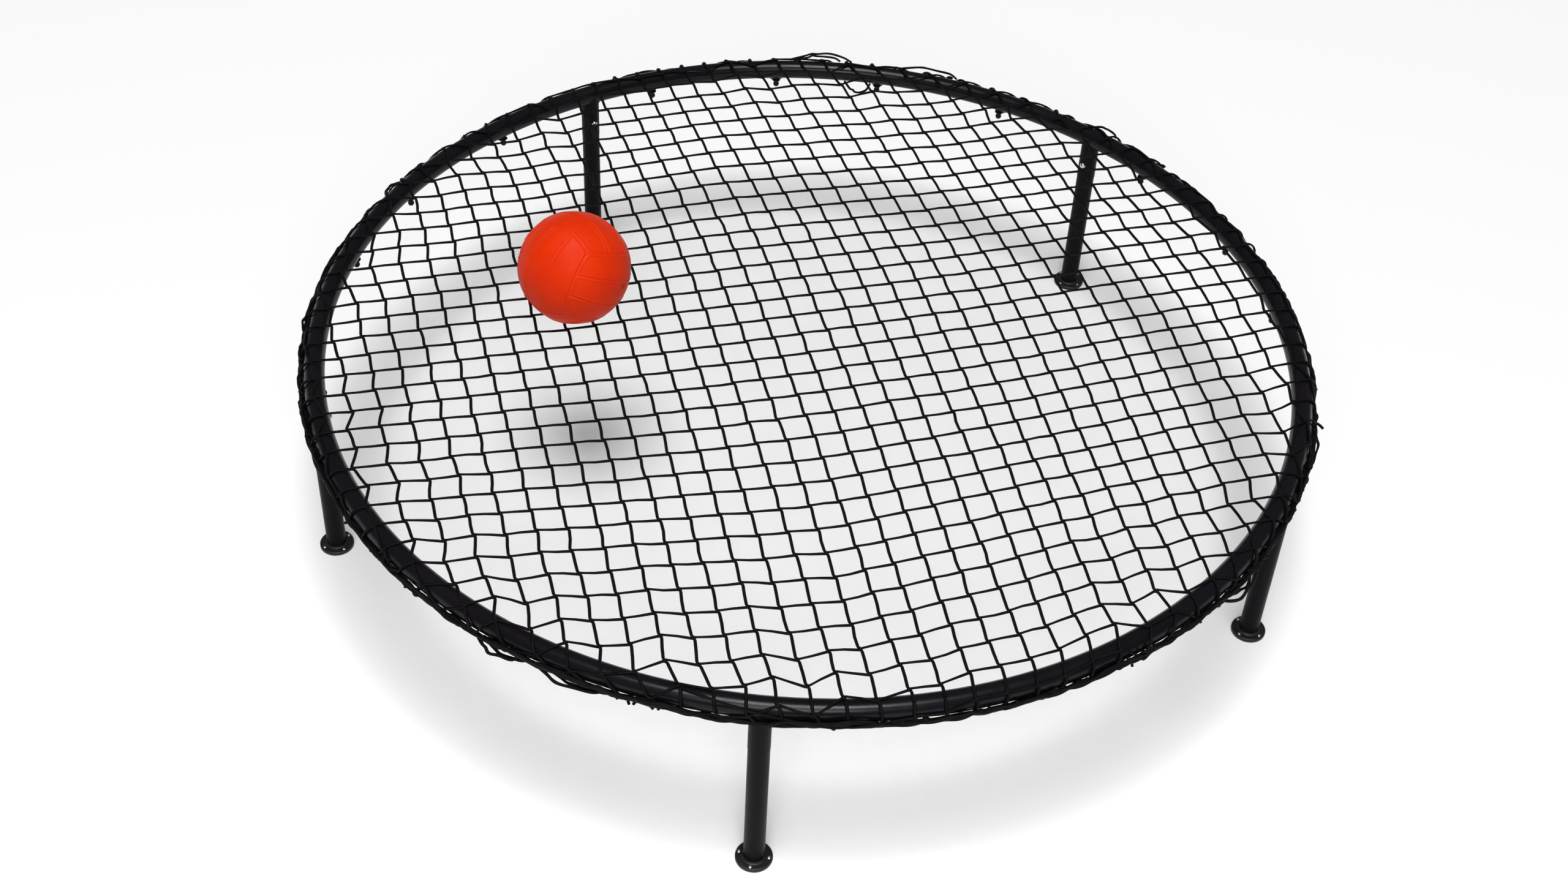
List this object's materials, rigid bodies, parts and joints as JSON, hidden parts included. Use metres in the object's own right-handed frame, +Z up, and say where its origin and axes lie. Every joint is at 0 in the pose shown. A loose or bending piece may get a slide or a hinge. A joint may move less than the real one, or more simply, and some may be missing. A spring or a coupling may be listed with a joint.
{
  "type": "roundnet set",
  "caption": "Round steel ring on short plug-in legs with a tight net over it, and a soft ball on the net",
  "frame": {"origin": "on the floor, under the middle of the ring", "axes": "+Z up; -Y towards leg 1, the front leg; +X to the right seen from there"},
  "size_m": [0.9421, 0.9441, 0.3086],
  "materials": {
    "rim_steel": "satin black powder coat",
    "leg_steel": "satin black powder coat",
    "hook_steel": "satin black powder coat",
    "nickel": "polished nickel plate",
    "spring_steel": "plain spring steel",
    "foot_plastic": "moulded, fine texture",
    "pad_rubber": "matt rubber",
    "screw_steel": "zinc plated",
    "netting": "knotless twisted nylon, black",
    "ball_skin": "soft satin vinyl, orange-red",
    "bladder_rubber": "matt rubber",
    "valve_rubber": "matt rubber"
  },
  "bodies": {
    "frame": {"rim_segment_1": "rim_steel", "rim_segment_2": "rim_steel", "rim_segment_3": "rim_steel", "rim_segment_4": "rim_steel", "rim_segment_5": "rim_steel", "leg_socket_1": "rim_steel", "leg_socket_2": "rim_steel", "leg_socket_3": "rim_steel", "leg_socket_4": "rim_steel", "leg_socket_5": "rim_steel", "net_hooks_1": "hook_steel", "net_hooks_2": "hook_steel", "net_hooks_3": "hook_steel", "net_hooks_4": "hook_steel", "net_hooks_5": "hook_steel", "net_panel": "netting", "net_skirt": "netting", "net_hem": "netting"},
    "ball": {"ball_skin": "ball_skin", "ball_bladder": "bladder_rubber", "ball_valve": "valve_rubber"},
    "leg_1": {"leg_tube_1": "leg_steel", "snap_spring_1": "spring_steel", "foot_flange_1": "foot_plastic", "foot_pad_1": "pad_rubber", "foot_screws_1": "screw_steel"},
    "button_1": {"snap_button_1": "nickel"},
    "leg_2": {"leg_tube_2": "leg_steel", "snap_spring_2": "spring_steel", "foot_flange_2": "foot_plastic", "foot_pad_2": "pad_rubber", "foot_screws_2": "screw_steel"},
    "button_2": {"snap_button_2": "nickel"},
    "leg_3": {"leg_tube_3": "leg_steel", "snap_spring_3": "spring_steel", "foot_flange_3": "foot_plastic", "foot_pad_3": "pad_rubber", "foot_screws_3": "screw_steel"},
    "button_3": {"snap_button_3": "nickel"},
    "leg_4": {"leg_tube_4": "leg_steel", "snap_spring_4": "spring_steel", "foot_flange_4": "foot_plastic", "foot_pad_4": "pad_rubber", "foot_screws_4": "screw_steel"},
    "button_4": {"snap_button_4": "nickel"},
    "leg_5": {"leg_tube_5": "leg_steel", "snap_spring_5": "spring_steel", "foot_flange_5": "foot_plastic", "foot_pad_5": "pad_rubber", "foot_screws_5": "screw_steel"},
    "button_5": {"snap_button_5": "nickel"}
  },
  "joints": [
    {"name": "ball_lift", "type": "slide", "parent": "frame", "child": "ball", "axis": [0, 0, 1], "range_m": [0, 0.25]},
    {"name": "leg_pull_1", "type": "slide", "parent": "frame", "child": "leg_1", "axis": [0, 0, -1], "range_m": [0, 0.06], "deforming": ["snap_button_1"]},
    {"name": "button_press_1", "type": "slide", "parent": "leg_1", "child": "button_1", "axis": [0, -1, 0], "range_m": [0, 0.0042], "stiffness_N_per_m": 800, "springref_m": -0.003, "deforming": ["snap_spring_1"]},
    {"name": "leg_pull_2", "type": "slide", "parent": "frame", "child": "leg_2", "axis": [0, 0, -1], "range_m": [0, 0.06], "deforming": ["snap_button_2"]},
    {"name": "button_press_2", "type": "slide", "parent": "leg_2", "child": "button_2", "axis": [0.9511, -0.309, 0], "range_m": [0, 0.0042], "stiffness_N_per_m": 800, "springref_m": -0.003, "deforming": ["snap_spring_2"]},
    {"name": "leg_pull_3", "type": "slide", "parent": "frame", "child": "leg_3", "axis": [0, 0, -1], "range_m": [0, 0.06], "deforming": ["snap_button_3"]},
    {"name": "button_press_3", "type": "slide", "parent": "leg_3", "child": "button_3", "axis": [0.5878, 0.809, 0], "range_m": [0, 0.0042], "stiffness_N_per_m": 800, "springref_m": -0.003, "deforming": ["snap_spring_3"]},
    {"name": "leg_pull_4", "type": "slide", "parent": "frame", "child": "leg_4", "axis": [0, 0, -1], "range_m": [0, 0.06], "deforming": ["snap_button_4"]},
    {"name": "button_press_4", "type": "slide", "parent": "leg_4", "child": "button_4", "axis": [-0.5878, 0.809, 0], "range_m": [0, 0.0042], "stiffness_N_per_m": 800, "springref_m": -0.003, "deforming": ["snap_spring_4"]},
    {"name": "leg_pull_5", "type": "slide", "parent": "frame", "child": "leg_5", "axis": [0, 0, -1], "range_m": [0, 0.06], "deforming": ["snap_button_5"]},
    {"name": "button_press_5", "type": "slide", "parent": "leg_5", "child": "button_5", "axis": [-0.9511, -0.309, 0], "range_m": [0, 0.0042], "stiffness_N_per_m": 800, "springref_m": -0.003, "deforming": ["snap_spring_5"]}
  ]
}
